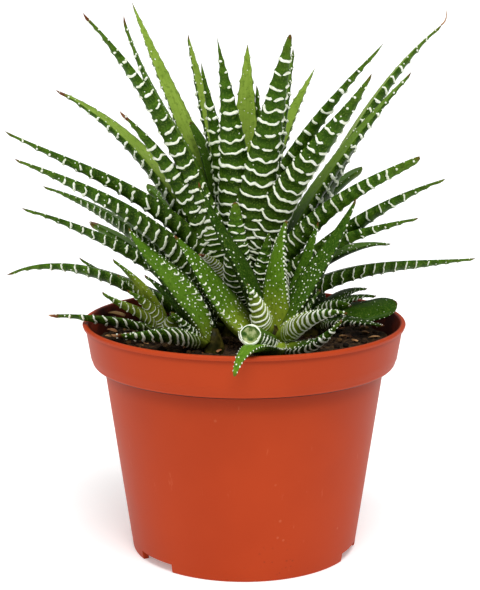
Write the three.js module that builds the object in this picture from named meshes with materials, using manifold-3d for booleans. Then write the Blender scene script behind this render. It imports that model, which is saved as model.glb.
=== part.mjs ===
// Potted haworthia: a plastic nursery pot of peat with one large rosette and four offsets around it.
// Millimetres, +Z up. The viewer stands on the -Y side, and the origin is under the pot's centre.
import * as THREE from "three";
import { mergeVertices } from "three/addons/utils/BufferGeometryUtils.js";
import Module from "manifold-3d";

const wasm = await Module();
wasm.setup();

// Pot sizes
const RIM_RADIUS = 60;
const POT_HEIGHT = 87;
const BASE_RADIUS = 42.3;
const COLLAR_HEIGHT = 16;
const COLLAR_FOOT_RADIUS = 56.6;
const BODY_TOP_RADIUS = 52.3;
const STEP_ROUND = 2;
const WALL = 1.3;
const BEAD = 0.8;
const BEAD_HEIGHT = 1.8;
const FOOT_HEIGHT = 3.6;
const FOOT_WIDTH = 2.2;
const FOOT_COUNT = 3;
const FOOT_TURN = 10;
const NOTCH_ANGLE = 24;
const DRAIN_COUNT = 6;
const DRAIN_RADIUS = 3.5;
const DRAIN_CIRCLE = 29;
const POT_SIDES = 48;
const EDGE_ROUND = 0.3;
const STEP_POINTS = 4;
const DRAIN_SIDES = 16;
const CUT_MARGIN = 1;

// Soil sizes
const SOIL_EDGE_HEIGHT = 78.5;
const SOIL_MOUND = 1.4;
const SOIL_LUMP = 0.5;
const SOIL_SIDES = 32;
const SOIL_RINGS = 5;
const GAP = 0.3;
const WALL_GAP = 0.5;

// Leaf shape shared by every leaf
const LEAF_STEPS = 40;
const LEAF_CORNERS = 5;
const THICKNESS_SHARE = 0.4;
const LEAST_THICKNESS = 1;
const KEEL_WIDTH_SHARE = 0.62;
const KEEL_DEPTH_SHARE = 0.75;
const TIP_POWER = 0.88;
const ROOT_WIDTH_SHARE = 0.72;
const ROOT_REACH = 0.2;
const BAND_PITCH = 8.5;
const BAND_RISE = 0.5;
const BAND_START = 0.22;
const BAND_END = 0.93;
const VALLEY_PLACE = 0.15;
const CREST_PLACE = 0.6;
const ROLL_REACH = 0.35;
const CUT_BLUNT = 0.55;
const CUT_PLACE = 0.97;

// Rosettes: where each one's stem stands, how thick it is and how high it reaches
const STEM_FOOT = 70;
const STEM_SIDES = 12;
const OFFSET_ROOT_RADIUS = 2.5;
const ROSETTES = {
  rosette_main: { x: 0, y: 8, stemRadius: 9, neckRadius: 5, top: 109 },
  rosette_front_right: { x: 10, y: -21, stemRadius: 4.5, neckRadius: 3, top: 89 },
  rosette_front_left: { x: -11, y: -21, stemRadius: 4, neckRadius: 2.8, top: 88 },
  rosette_left: { x: -27, y: -6, stemRadius: 4, neckRadius: 2.8, top: 88 },
  rosette_right: { x: 25, y: 5, stemRadius: 4, neckRadius: 2.8, top: 88 },
};

// One row a leaf, lowest first: azimuth (0 right, 90 away, -90 to the viewer), height of its root,
// rise above level at the root, halfway and at the tip, length, width, roll about its own length,
// and for a few leaves how blunt the tip is (slender below 0), how far the leaf turns sideways on its way out,
// how late it bends (1 is evenly along its length) and how many times plumper it is than the others.
const LEAVES = {
  rosette_main: [
    [3, 84, 56, 9, 4, 88, 16, -10],
    [178, 84, 21, 19, -30, 88, 15, 10],
    [170, 84, 14, 22, 31, 62, 10, 10],
    [95, 84, 56, 32, 14, 66, 15, 0],
    [180, 86, 48, 27, 14, 88, 14, 12],
    [150, 86, 31, 28, 13, 71, 13, 10, 0.2],
    [-15, 86, 80, 28, 13, 76, 15, -12],
    [18, 86, 56, 25, -10, 62, 13, 10],
    [65, 86, 54, 32, 14, 54, 15, 0],
    [120, 86, 50, 32, 16, 56, 15, 0],
    [-135, 86, 88, 62, 12, 34, 10, 10, 0.1],
    [160, 88, 47, 30, 10, 90, 16, 12],
    [-8, 88, 61, 36, 18, 87, 17, -12],
    [-140, 89, 90, 74, 50, 37, 15, 0, 0.35],
    [-60, 89, 66, 72, 72, 34, 12, 0],
    [-175, 90, 67, 32, 20, 99, 18, 12],
    [35, 90, 79, 42, 20, 73, 14, -10, 0.25],
    [-15, 90, 84, 40, 24, 87, 16, -10, 0.15],
    [140, 90, 64, 45, 26, 61, 12, 10, 0.3],
    [82, 90, 64, 48, 30, 66, 16, 0],
    [-175, 92, 80, 30, 27, 110, 17, 8],
    [110, 92, 68, 52, 38, 64, 17, 0],
    [52, 93, 72, 52, 34, 68, 16, 0],
    [-160, 94, 76, 59, 40, 84, 17, 5],
    [-42, 94, 95, 49, 55, 104, 19, -5],
    [-8, 94, 70, 55, 47, 102, 14, 18],
    [138, 95, 76, 56, 42, 62, 15, 0],
    [170, 96, 68, 49, 21, 103, 17, -7],
    [-72, 96, 88, 61, 58, 108, 15, 0, 0.04],
    [14, 96, 55, 58, 35, 123, 17, -12],
    [95, 97, 80, 62, 48, 68, 16, 0],
    [-150, 98, 75, 59, 42, 120, 17, -12],
    [-35, 98, 88, 55, 43, 110, 15, 0, -0.25],
    [165, 100, 86, 59, 76, 108, 12, 10],
    [-105, 100, 85, 70, 54, 99, 17, 0, -0.4],
    [58, 100, 94, 51, 42, 96, 13, 2, -0.2],
    [135, 100, 75, 69, 45, 64, 11, -8, 0.1],
    [132, 102, 70, 55, 58, 119, 10, -12],
    [150, 102, 92, 73, 77, 92, 12, -8],
    [-140, 102, 89, 76, 76, 82, 14, 0, -0.2],
    [30, 102, 84, 76, 81, 86, 12, -5],
    [75, 104, 95, 89, 82, 84, 15, 0],
    [40, 104, 93, 85, 95, 69, 11, 0],
    [-100, 90, 66, 76, 80, 44, 12, 0, 0.1],
  ],
  rosette_front_right: [
    [-40, 84, -10, 26, 46, 32, 11, 8],
    [-91, 85.2, -15, 15, -81, 53, 11, 0, 0.04, -33, 1.2],
    [-24, 85, 51, 24, -12, 30, 13, -20],
    [-103, 84, 17, 18, 18, 37, 7.8, 0, 0.75, 0, 1, 1.5],
    [172, 84, 34, 53, 46, 50, 14, -35],
    [-155, 86, 90, 66, 60, 21, 11, 20],
    [5, 85, 71, 57, 69, 57, 11, 35],
    [12, 86, 49, 47, 39, 22, 12, -10],
    [165, 86, 85, 59, 71, 60, 11, -15],
    [35, 85, 55, 69, 64, 44, 10, 10],
    [78, 85, 84, 85, 66, 42, 12, 0, 0.07, -60],
  ],
  rosette_front_left: [
    [-172, 84, 33, -3, 8, 35, 13, 25],
    [-168, 84, 60, 34, 45, 17, 10, -20],
    [-152, 84, 41, 41, 40, 18, 7, 0],
    [170, 84, 69, 42, 32, 33, 12, 10],
    [178, 84, 88, 46, 61, 50, 15, -35],
    [130, 85, 84, 78, 72, 14, 8, 0],
  ],
  rosette_left: [
    [-175, 84, 72, 22, 42, 28, 11, 10],
    [-150, 84, 90, 42, 30, 24, 11, 0],
    [178, 84, 92, 49, 40, 34, 9.5, 0],
    [165, 85, 92, 40, 22, 28, 11, 10],
    [-80, 84, 64, 42, 22, 13, 9, 0],
    [-176, 85.5, 8, 8, 0, 43, 10, 26, 0, 0, 1, 0.7],
  ],
  rosette_right: [
    [-20, 84, 36, -3, -5, 27, 9, 0],
    [5, 84, 29, 8, 26, 31.5, 14, 22, 0.75, 0, 1, 0.6],
    [-20, 85, 80, 28, -34, 18, 13, -20, 0.1],
    [15, 85, 56, 17, -12, 27, 8, 0],
    [32, 85, 58, 21, -15, 28, 8, 0],
    [75, 85, 50, 30, 14, 20, 10, 0],
  ],
};

// Materials, with the colours of the real surfaces
const POT_PLASTIC = new THREE.MeshStandardMaterial({ color: 0xbd4a26, roughness: 0.55, metalness: 0 });
const PEAT = new THREE.MeshStandardMaterial({ color: 0x2b1c14, roughness: 1, metalness: 0 });
const LEAF_DARK = new THREE.MeshStandardMaterial({ color: 0x35601c, roughness: 0.45, metalness: 0 });
const LEAF_BRIGHT = new THREE.MeshStandardMaterial({ color: 0x6b9426, roughness: 0.45, metalness: 0 });

const radians = THREE.MathUtils.degToRad;
const COLLAR_FOOT = POT_HEIGHT - COLLAR_HEIGHT;

// A copy of a geometry with nothing but its corners, and those that meet made one
function mergedCopy(geometry) {
  const bare = new THREE.BufferGeometry();
  bare.setAttribute("position", geometry.getAttribute("position").clone());
  if (geometry.index) bare.setIndex(geometry.index.clone());
  return mergeVertices(bare, 1e-4);
}

// A geometry of triangles as a solid, and back
function toSolid(geometry) {
  const merged = mergedCopy(geometry);
  return new wasm.Manifold(new wasm.Mesh({
    numProp: 3,
    vertProperties: new Float32Array(merged.getAttribute("position").array),
    triVerts: new Uint32Array(merged.index.array),
  }));
}

function toGeometry(solid) {
  const { vertProperties, triVerts } = solid.getMesh();
  const geometry = new THREE.BufferGeometry();
  geometry.setAttribute("position", new THREE.BufferAttribute(new Float32Array(vertProperties), 3));
  geometry.setIndex(new THREE.BufferAttribute(new Uint32Array(triVerts), 1));
  geometry.computeVertexNormals();
  return geometry;
}

// A profile of radius and height turned about the upright axis
function turned(profile, sides) {
  const points = profile.map(([radius, height]) => new THREE.Vector2(radius, height));
  return new THREE.LatheGeometry(points, sides).rotateX(Math.PI / 2);
}

// The rounded lower edge of the collar, from its underside out to its side
function collarRound() {
  const arc = [];
  for (let i = 0; i <= STEP_POINTS; i += 1) {
    const angle = (Math.PI / 2) * (i / STEP_POINTS);
    const radius = COLLAR_FOOT_RADIUS - STEP_ROUND * (1 - Math.sin(angle));
    arc.push([radius, COLLAR_FOOT + STEP_ROUND * (1 - Math.cos(angle))]);
  }
  return arc;
}

// Radius of the pot's outer wall at a height
function outerRadius(height) {
  if (height <= COLLAR_FOOT) {
    return BASE_RADIUS + (BODY_TOP_RADIUS - BASE_RADIUS) * (height / COLLAR_FOOT);
  }
  const share = (height - COLLAR_FOOT) / COLLAR_HEIGHT;
  return COLLAR_FOOT_RADIUS + (RIM_RADIUS - BEAD - COLLAR_FOOT_RADIUS) * share;
}

// Pot: one turned wall with a stepped collar, a lip bead, a floor, three feet and drain holes
function pot() {
  const beadFoot = POT_HEIGHT - BEAD_HEIGHT;
  const floorTop = FOOT_HEIGHT + WALL;
  const footInner = BASE_RADIUS - FOOT_WIDTH;
  const mouthRadius = RIM_RADIUS - BEAD - WALL;
  const profile = [
    [0, FOOT_HEIGHT],
    [footInner, FOOT_HEIGHT],
    [footInner, 0],
    [BASE_RADIUS - EDGE_ROUND, 0],
    [BASE_RADIUS, EDGE_ROUND],
    [BODY_TOP_RADIUS, COLLAR_FOOT],
    ...collarRound(),
    [outerRadius(beadFoot), beadFoot],
    [RIM_RADIUS, beadFoot + 2 * EDGE_ROUND],
    [RIM_RADIUS, POT_HEIGHT - 2 * EDGE_ROUND],
    [RIM_RADIUS - 2 * EDGE_ROUND, POT_HEIGHT],
    [mouthRadius + EDGE_ROUND, POT_HEIGHT],
    [mouthRadius, POT_HEIGHT - EDGE_ROUND],
    [COLLAR_FOOT_RADIUS - WALL, COLLAR_FOOT + WALL],
    [BODY_TOP_RADIUS - WALL, COLLAR_FOOT + WALL],
    [outerRadius(floorTop) - WALL, floorTop],
    [0, floorTop],
  ];
  let solid = toSolid(turned(profile, POT_SIDES));
  for (let i = 0; i < FOOT_COUNT; i += 1) {
    solid = solid.subtract(toSolid(notch(FOOT_TURN - 90 + (360 / FOOT_COUNT) * (i + 0.5))));
  }
  for (let i = 0; i < DRAIN_COUNT; i += 1) {
    solid = solid.subtract(toSolid(drain((360 / DRAIN_COUNT) * i)));
  }
  return toGeometry(solid);
}

// Cutter for the gap between two feet, a piece of a ring around a middle angle
function notch(middle) {
  const from = radians(middle - NOTCH_ANGLE / 2);
  const to = radians(middle + NOTCH_ANGLE / 2);
  const shape = new THREE.Shape();
  shape.absarc(0, 0, BASE_RADIUS + 2 * CUT_MARGIN, from, to, false);
  shape.absarc(0, 0, BASE_RADIUS - FOOT_WIDTH - 2 * CUT_MARGIN, to, from, true);
  shape.closePath();
  const options = { depth: FOOT_HEIGHT, bevelEnabled: false, curveSegments: 4 };
  return new THREE.ExtrudeGeometry(shape, options).translate(0, 0, -EDGE_ROUND);
}

// Cutter for one drain hole in the floor
function drain(angle) {
  const depth = WALL + 2 * CUT_MARGIN;
  const hole = new THREE.CylinderGeometry(DRAIN_RADIUS, DRAIN_RADIUS, depth, DRAIN_SIDES);
  const x = DRAIN_CIRCLE * Math.cos(radians(angle));
  const y = DRAIN_CIRCLE * Math.sin(radians(angle));
  return hole.rotateX(Math.PI / 2).translate(x, y, FOOT_HEIGHT + WALL / 2);
}

// Height of the soil: a low mound with small lumps made of crossed waves
function soilHeight(x, y) {
  const share = Math.hypot(x, y) / BODY_TOP_RADIUS;
  const lumps = Math.sin(x * 0.37 + 1) * Math.sin(y * 0.41 - 0.5) + 0.6 * Math.sin(x * 0.83 - y * 0.71);
  return SOIL_EDGE_HEIGHT + SOIL_MOUND * (1 - share * share) + SOIL_LUMP * lumps * (1 - share ** 6);
}

// Soil: a plug that fills the pot, with a lumpy top and a plain hole for each stem
function soil() {
  const bottom = FOOT_HEIGHT + WALL + GAP;
  const inset = WALL + WALL_GAP;
  const profile = [
    [0, bottom],
    [outerRadius(bottom) - inset, bottom],
    [BODY_TOP_RADIUS - inset, COLLAR_FOOT],
    [BODY_TOP_RADIUS - inset, COLLAR_FOOT + WALL + GAP],
    [COLLAR_FOOT_RADIUS - inset, COLLAR_FOOT + WALL + GAP],
  ];
  const edge = outerRadius(SOIL_EDGE_HEIGHT) - inset;
  for (let ring = 0; ring <= SOIL_RINGS; ring += 1) {
    profile.push([edge * (1 - ring / SOIL_RINGS), SOIL_EDGE_HEIGHT]);
  }
  const plug = mergedCopy(turned(profile, SOIL_SIDES));
  const spots = plug.getAttribute("position");
  for (let i = 0; i < spots.count; i += 1) {
    const isTop = spots.getZ(i) > SOIL_EDGE_HEIGHT - 0.01;
    const isInside = Math.hypot(spots.getX(i), spots.getY(i)) < edge - 0.01;
    if (isTop && isInside) spots.setZ(i, soilHeight(spots.getX(i), spots.getY(i)));
  }
  let solid = toSolid(plug);
  for (const rosetteStem of Object.values(ROSETTES)) {
    solid = solid.subtract(toSolid(stemHole(rosetteStem)));
  }
  return toGeometry(solid);
}

// Cutter for the hole that a stem stands in
function stemHole({ x, y, stemRadius }) {
  const radius = stemRadius + GAP;
  const profile = [
    [0, STEM_FOOT - GAP],
    [radius, STEM_FOOT - GAP],
    [radius, POT_HEIGHT],
    [0, POT_HEIGHT],
  ];
  return turned(profile, STEM_SIDES).translate(x, y, 0);
}

// Half-width share along a leaf: a little narrow at the root, full at a quarter, then an even taper
function widthShare(s, blunt) {
  const left = 1 - s * (1 - Math.max(blunt, 0));
  const body = Math.sin((Math.PI / 2) * left ** (TIP_POWER * (1 + Math.max(-blunt, 0))));
  const swell = Math.sin((Math.PI / 2) * Math.min(s / ROOT_REACH, 1));
  return body * (ROOT_WIDTH_SHARE + (1 - ROOT_WIDTH_SHARE) * swell);
}

// How far from the stem's axis a leaf is rooted: lower leaves further out
function rootRadius(name, height) {
  if (name !== "rosette_main") return OFFSET_ROOT_RADIUS;
  return height <= 90 ? 7 : height <= 96 ? 5 : 3.5;
}

// The points of a leaf's spine and the directions across it and out of its inner face
function leafFrames(name, azimuth, height, rises, length, roll, veer, late) {
  const { x, y } = ROSETTES[name];
  const turn = radians(azimuth);
  const reach = rootRadius(name, height);
  const point = new THREE.Vector3(x + reach * Math.cos(turn), y + reach * Math.sin(turn), height);
  const frames = [];
  for (let i = 0; i <= LEAF_STEPS; i += 1) {
    const s = i / LEAF_STEPS;
    const t = s ** late;
    const rise = radians(
      rises[0] * (1 - t) * (1 - 2 * t) + rises[1] * 4 * t * (1 - t) + rises[2] * t * (2 * t - 1));
    const heading = radians(azimuth + veer * s);
    const along = new THREE.Vector3(
      Math.cos(rise) * Math.cos(heading), Math.cos(rise) * Math.sin(heading), Math.sin(rise));
    const rolled = radians(roll) * Math.min(s / ROLL_REACH, 1);
    const side = new THREE.Vector3(-Math.sin(heading), Math.cos(heading), 0).applyAxisAngle(along, rolled);
    const inner = side.clone().cross(along).negate();
    frames.push({ point: point.clone(), along, side, inner });
    point.addScaledVector(along, length / LEAF_STEPS);
  }
  return frames;
}

// The frame at any share of the leaf, between two steps of its spine
function frameAt(frames, s) {
  const place = s * LEAF_STEPS;
  const low = Math.min(Math.floor(place), LEAF_STEPS - 1);
  const mix = place - low;
  const blend = (key) => frames[low][key].clone().lerp(frames[low + 1][key], mix);
  return { point: blend("point"), side: blend("side"), inner: blend("inner") };
}

// Stations of a leaf: plain near the root, then a valley and a raised band in turn, then the tip
function stations(length) {
  const bandLength = length * (BAND_END - BAND_START);
  const bands = Math.max(2, Math.round(bandLength / BAND_PITCH));
  const rows = [{ s: 0, rise: 0 }];
  for (let i = 0; i < bands; i += 1) {
    const pitch = (BAND_END - BAND_START) / bands;
    rows.push({ s: BAND_START + pitch * (i + VALLEY_PLACE), rise: 0 });
    rows.push({ s: BAND_START + pitch * (i + CREST_PLACE), rise: BAND_RISE });
  }
  return rows;
}

// One leaf: flat inner face, two edges and a keeled back that swells into raised bands
function leaf(name, row) {
  const [azimuth, height, riseRoot, riseMiddle, riseTip, length, width, roll] = row;
  const [blunt = 0, veer = 0, late = 1, plump = 1] = row.slice(8);
  const rises = [riseRoot, riseMiddle, riseTip];
  const frames = leafFrames(name, azimuth, height, rises, length, roll, veer, late);
  const rows = stations(length);
  if (blunt > CUT_BLUNT) rows.push({ s: CUT_PLACE, rise: 0 });
  const corners = [];
  for (const { s, rise } of rows) {
    const { point, side, inner } = frameAt(frames, s);
    const half = (widthShare(s, blunt) * width) / 2;
    const thick = Math.max(2 * half * THICKNESS_SHARE * plump, LEAST_THICKNESS);
    const spot = (across, out) => point.clone().addScaledVector(side, across).addScaledVector(inner, out);
    corners.push(spot(half, 0));
    corners.push(spot(-half, 0));
    corners.push(spot(-half * KEEL_WIDTH_SHARE, -thick * KEEL_DEPTH_SHARE - rise));
    corners.push(spot(0, -thick - rise));
    corners.push(spot(half * KEEL_WIDTH_SHARE, -thick * KEEL_DEPTH_SHARE - rise));
  }
  return closedLoft(corners, LEAF_CORNERS, frameAt(frames, 1).point);
}

// A closed skin over rows of corners, with a flat root and a pointed tip
function closedLoft(corners, count, tip) {
  const rows = corners.length / count;
  const index = [];
  for (let row = 0; row < rows - 1; row += 1) {
    for (let i = 0; i < count; i += 1) {
      const a = row * count + i;
      const b = row * count + ((i + 1) % count);
      index.push(a, b, b + count, a, b + count, a + count);
    }
  }
  for (let i = 1; i < count - 1; i += 1) index.push(0, i + 1, i);
  const last = (rows - 1) * count;
  for (let i = 0; i < count; i += 1) index.push(last + i, last + ((i + 1) % count), corners.length);
  const all = [...corners, tip];
  const geometry = new THREE.BufferGeometry();
  geometry.setAttribute("position", new THREE.Float32BufferAttribute(all.flatMap((v) => v.toArray()), 3));
  geometry.setIndex(index);
  return geometry;
}

// Stem: a short turned core from inside the soil to the heart of the rosette
function stem({ x, y, stemRadius, neckRadius, top }) {
  const profile = [
    [0, STEM_FOOT],
    [stemRadius * 0.7, STEM_FOOT],
    [stemRadius, STEM_FOOT + 2],
    [stemRadius, SOIL_EDGE_HEIGHT + 3],
    [neckRadius, top - 3],
    [neckRadius * 0.6, top],
    [0, top],
  ];
  return turned(profile, STEM_SIDES).translate(x, y, 0);
}

// Joined pieces as one solid, with any small hollow between the leaf roots filled
function grown(pieces) {
  const shells = wasm.Manifold.union(pieces).decompose();
  return shells.reduce((largest, shell) => (shell.volume() > largest.volume() ? shell : largest));
}

// Rosette: the stem and all its leaves grown into one solid
function rosette(name) {
  const leaves = LEAVES[name].map((row) => toSolid(leaf(name, row)));
  return toGeometry(grown([toSolid(stem(ROSETTES[name])), ...leaves]));
}

function named(name, geometry, material) {
  const mesh = new THREE.Mesh(geometry, material);
  mesh.name = name;
  return mesh;
}

const group = new THREE.Group();
group.add(named("pot", pot(), POT_PLASTIC));
group.add(named("soil", soil(), PEAT));
for (const name of Object.keys(ROSETTES)) {
  const isMain = name === "rosette_main";
  group.add(named(name, rosette(name), isMain ? LEAF_DARK : LEAF_BRIGHT));
}

export default group;
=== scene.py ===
# Potted haworthia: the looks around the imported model, in millimetres, with +Z up and the viewer at -Y.
import math
import random

import bpy
import numpy as np
from mathutils import Matrix, Vector, noise


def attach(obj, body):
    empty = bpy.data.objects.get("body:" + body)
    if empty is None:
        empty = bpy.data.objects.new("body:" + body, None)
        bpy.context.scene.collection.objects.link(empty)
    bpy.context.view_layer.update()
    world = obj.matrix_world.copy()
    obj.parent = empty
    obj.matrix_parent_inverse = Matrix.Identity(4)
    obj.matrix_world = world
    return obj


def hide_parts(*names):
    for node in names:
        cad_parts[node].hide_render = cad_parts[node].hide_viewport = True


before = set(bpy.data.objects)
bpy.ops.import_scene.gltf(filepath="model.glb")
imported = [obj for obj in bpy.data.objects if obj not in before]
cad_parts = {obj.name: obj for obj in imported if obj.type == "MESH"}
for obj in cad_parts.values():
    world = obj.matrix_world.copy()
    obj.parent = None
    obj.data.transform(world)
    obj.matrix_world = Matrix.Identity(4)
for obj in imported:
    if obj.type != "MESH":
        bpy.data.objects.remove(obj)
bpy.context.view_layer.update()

MM = 0.001

# Camera: the point it looks at, its pitch, its distance and its focal length in pixels of the photograph
AIM = Vector((-1.5, 0.0, 96.1)) * MM
PITCH = math.radians(11.4)
DISTANCE = 560 * MM
FOCAL_PIXELS = 1506
PHOTO_HEIGHT = 590

# Lights: azimuth (0 behind the viewer, 90 to the right), elevation, strength and softness
SUNS = {"key": (13, 62, 2.1, 30), "fill": (-45, 35, 0.5, 60), "top": (170, 78, 0.5, 60)}
WORLD_LIGHT = 0.4
FLOOR_GLOW = 0.24
FLOOR_REACH = 90_000

# Pot
RIM_RADIUS = 60
POT_HEIGHT = 87
BASE_RADIUS = 42.3
COLLAR_FOOT = 71
COLLAR_FOOT_RADIUS = 56.6
BODY_TOP_RADIUS = 52.3
STEP_ROUND = 2
FOOT_ROUND = 0.45
WALL = 1.3
BEAD = 0.8
BEAD_HEIGHT = 1.8
BEAD_ROUND = 0.7
MOUTH_ROUND = 0.6
FOOT_HEIGHT = 3.6
FOOT_WIDTH = 2.2
FOOT_COUNT = 3
FOOT_TURN = 10
NOTCH_ANGLE = 24
NOTCH_STEPS = 8
DRAIN_COUNT = 6
DRAIN_RADIUS = 3.5
DRAIN_CIRCLE = 29
DRAIN_SIDES = 28
POT_SIDES = 180

# Soil
SOIL_EDGE_HEIGHT = 78.5
SOIL_MOUND = 1.4
SOIL_LUMP = 0.5
SOIL_RADIUS = 55.4
SOIL_RINGS = 84
SOIL_SECTORS = 200
CRUMB_COUNT = 620
CHIP_COUNT = 70

# Radius and height of the corners of the soil's plain side, downwards
SOIL_SIDE = ((SOIL_RADIUS, COLLAR_FOOT + WALL + 0.6), (50, COLLAR_FOOT + WALL + 0.5), (49.8, COLLAR_FOOT),
             (41.4, 5.4))

# The larger dry bits on the soil: place, length, width, direction in degrees, how arched, and how pale
LITTER = [
    (-50, 23, 83.4, 10, 3.6, -30, 1.2, 1.0),
    (-50, 8, 80.6, 6, 2.4, -50, 0.6, 0.25),
    (-45, 2, 80.2, 5, 2.2, -20, 0.5, 0.15),
    (-9, -24, 80.4, 3.4, 1.8, 70, 0.5, 0.45),
    (43, 22, 83.6, 4.6, 3.0, -60, 0.5, 1.0),
    (37, 1, 80.2, 3.2, 1.8, 10, 0.3, 0.9),
    (41, -6, 80.0, 2.6, 1.5, -40, 0.3, 0.8),
    (49, 2, 79.6, 4.6, 1.4, 20, 0.3, 0.95),
    (46, 9, 79.8, 3.4, 1.6, -30, 0.3, 0.9),
]
LITTER_THICKNESS = 0.6

# Rosettes: where each one's stem stands, how thick it is and how high it reaches
STEM_FOOT = 76
STEM_SIDES = 20
ROSETTES = {
    "rosette_main": {"x": 0, "y": 8, "stem": 9, "neck": 5, "top": 109},
    "rosette_front_right": {"x": 10, "y": -21, "stem": 4.5, "neck": 3, "top": 89},
    "rosette_front_left": {"x": -11, "y": -21, "stem": 4, "neck": 2.8, "top": 88},
    "rosette_left": {"x": -27, "y": -6, "stem": 4, "neck": 2.8, "top": 88},
    "rosette_right": {"x": 25, "y": 5, "stem": 4, "neck": 2.8, "top": 88},
}

# How far from the stem's middle a leaf starts: up to which root height in the main rosette, and elsewhere
MAIN_ROOTS = ((90, 7), (96, 5), (110, 3.5))
OFFSET_ROOT_RADIUS = 2.5

# Leaf shape shared by every leaf
LEAF_STEPS = 40
THICKNESS_SHARE = 0.4
LEAST_THICKNESS = 1.0
TIP_POWER = 0.88
ROOT_WIDTH_SHARE = 0.72
ROOT_REACH = 0.2
ROLL_REACH = 0.35
KEEL = 0.05
KEEL_REACH = 0.3

# One row a leaf, lowest first: azimuth (0 right, 90 away, -90 to the viewer), height of its root,
# rise above level at the root, halfway and at the tip, length, width, roll about its own length,
# and for a few leaves how blunt the tip is (slender below 0), how far the leaf turns sideways on its way out,
# how late it bends (1 is evenly along its length) and how many times plumper it is than the others.
LEAVES = {
    "rosette_main": [
        [3, 84, 56, 9, 4, 88, 16, -10],
        [178, 84, 21, 19, -30, 88, 15, 10],
        [170, 84, 14, 22, 31, 62, 10, 10],
        [95, 84, 56, 32, 14, 66, 15, 0],
        [180, 86, 48, 27, 14, 88, 14, 12],
        [150, 86, 31, 28, 13, 71, 13, 10, 0.2],
        [-15, 86, 80, 28, 13, 76, 15, -12],
        [18, 86, 56, 25, -10, 62, 13, 10],
        [65, 86, 54, 32, 14, 54, 15, 0],
        [120, 86, 50, 32, 16, 56, 15, 0],
        [-135, 86, 88, 62, 12, 34, 10, 10, 0.1],
        [160, 88, 47, 30, 10, 90, 16, 12],
        [-8, 88, 61, 36, 18, 87, 17, -12],
        [-140, 89, 90, 74, 50, 37, 15, 0, 0.35],
        [-60, 89, 66, 72, 72, 34, 12, 0],
        [-175, 90, 67, 32, 20, 99, 18, 12],
        [35, 90, 79, 42, 20, 73, 14, -10, 0.25],
        [-15, 90, 84, 40, 24, 87, 16, -10, 0.15],
        [140, 90, 64, 45, 26, 61, 12, 10, 0.3],
        [82, 90, 64, 48, 30, 66, 16, 0],
        [-175, 92, 80, 30, 27, 110, 17, 8],
        [110, 92, 68, 52, 38, 64, 17, 0],
        [52, 93, 72, 52, 34, 68, 16, 0],
        [-160, 94, 76, 59, 40, 84, 17, 5],
        [-42, 94, 95, 49, 55, 104, 19, -5],
        [-8, 94, 70, 55, 47, 102, 14, 18],
        [138, 95, 76, 56, 42, 62, 15, 0],
        [170, 96, 68, 49, 21, 103, 17, -7],
        [-72, 96, 88, 61, 58, 108, 15, 0, 0.04],
        [14, 96, 55, 58, 35, 123, 17, -12],
        [95, 97, 80, 62, 48, 68, 16, 0],
        [-150, 98, 75, 59, 42, 120, 17, -12],
        [-35, 98, 88, 55, 43, 110, 15, 0, -0.25],
        [165, 100, 86, 59, 76, 108, 12, 10],
        [-105, 100, 85, 70, 54, 99, 17, 0, -0.4],
        [58, 100, 94, 51, 42, 96, 13, 2, -0.2],
        [135, 100, 75, 69, 45, 64, 11, -8, 0.1],
        [132, 102, 70, 55, 58, 119, 10, -12],
        [150, 102, 92, 73, 77, 92, 12, -8],
        [-140, 102, 89, 76, 76, 82, 14, 0, -0.2],
        [30, 102, 84, 76, 81, 86, 12, -5],
        [75, 104, 95, 89, 82, 84, 15, 0],
        [40, 104, 93, 85, 95, 69, 11, 0],
        [-100, 90, 66, 76, 80, 44, 12, 0, 0.1],
    ],
    "rosette_front_right": [
        [-40, 84, -10, 26, 46, 32, 11, 8],
        [-91, 85.2, -15, 15, -81, 53, 11, 0, 0.04, -33, 1.2],
        [-24, 85, 51, 24, -12, 30, 13, -20],
        [-103, 84, 17, 18, 18, 37, 7.8, 0, 0.75, 0, 1, 1.5],
        [172, 84, 34, 53, 46, 50, 14, -35],
        [-155, 86, 90, 66, 60, 21, 11, 20],
        [5, 85, 71, 57, 69, 57, 11, 35],
        [12, 86, 49, 47, 39, 22, 12, -10],
        [165, 86, 85, 59, 71, 60, 11, -15],
        [35, 85, 55, 69, 64, 44, 10, 10],
        [78, 85, 84, 85, 66, 42, 12, 0, 0.07, -60],
    ],
    "rosette_front_left": [
        [-172, 84, 33, -3, 8, 35, 13, 25],
        [-168, 84, 60, 34, 45, 17, 10, -20],
        [-152, 84, 41, 41, 40, 18, 7, 0],
        [170, 84, 69, 42, 32, 33, 12, 10],
        [178, 84, 88, 46, 61, 50, 15, -35],
        [130, 85, 84, 78, 72, 14, 8, 0],
    ],
    "rosette_left": [
        [-175, 84, 72, 22, 42, 28, 11, 10],
        [-150, 84, 90, 42, 30, 24, 11, 0],
        [178, 84, 92, 49, 40, 34, 9.5, 0],
        [165, 85, 92, 40, 22, 28, 11, 10],
        [-80, 84, 64, 42, 22, 13, 9, 0],
        [-176, 85.5, 8, 8, 0, 43, 10, 26, 0, 0, 1, 0.7],
    ],
    "rosette_right": [
        [-20, 84, 36, -3, -5, 27, 9, 0],
        [5, 84, 29, 8, 26, 31.5, 14, 22, 0.75, 0, 1, 0.6],
        [-20, 85, 80, 28, -34, 18, 13, -20, 0.1],
        [15, 85, 56, 17, -12, 27, 8, 0],
        [32, 85, 58, 21, -15, 28, 8, 0],
        [75, 85, 50, 30, 14, 20, 10, 0],
    ],
}
USUAL_REST = (0, 0, 1, 1)

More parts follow.
